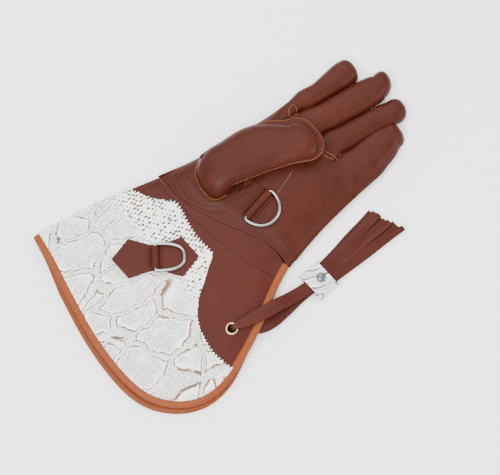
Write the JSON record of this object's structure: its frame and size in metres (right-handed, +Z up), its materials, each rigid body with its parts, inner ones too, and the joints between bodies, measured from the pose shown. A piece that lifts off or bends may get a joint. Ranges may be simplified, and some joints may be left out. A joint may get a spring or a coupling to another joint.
{
  "type": "bird handling glove",
  "caption": "Falconry glove lying palm up: brown leather hand, flared snake-print cuff with tan binding, D-rings on palm and cuff, and a fringe tassel",
  "frame": {"origin": "on the surface that the glove rests on, below the middle of the wrist", "axes": "+Y along the fingers, +X towards the little finger, +Z up out of the palm"},
  "size_m": [0.2169, 0.3703, 0.0342],
  "materials": {
    "brown_leather": "semi-matt smooth leather",
    "snake_print": "printed leather with a soft sheen",
    "tan_tape": "smooth",
    "steel": "polished",
    "brass": "polished"
  },
  "bodies": {
    "glove": {"hand": "brown_leather", "thumb": "brown_leather", "gauntlet": "brown_leather", "snake_overlay": "snake_print", "binding": "tan_tape", "palm_ring_tab": "brown_leather", "cuff_ring_tab": "brown_leather", "eyelet": "brass", "tassel_strap": "brown_leather", "tassel_collar": "snake_print", "tassel_rivet": "steel", "tassel_fringe": "brown_leather"},
    "palm_ring_body": {"palm_ring": "steel"},
    "cuff_ring_body": {"cuff_ring": "steel"}
  },
  "joints": [
    {"name": "palm_ring_swing", "type": "hinge", "parent": "glove", "child": "palm_ring_body", "pos_m": [0.0005, 0.021, 0.01946], "axis": [0.2924, -0.9563, 0], "range_deg": [0, 125]},
    {"name": "cuff_ring_swing", "type": "hinge", "parent": "glove", "child": "cuff_ring_body", "pos_m": [-0.0065, -0.084, 0.01866], "axis": [0.8686, -0.4955, -0.0011], "range_deg": [0, 176]}
  ]
}
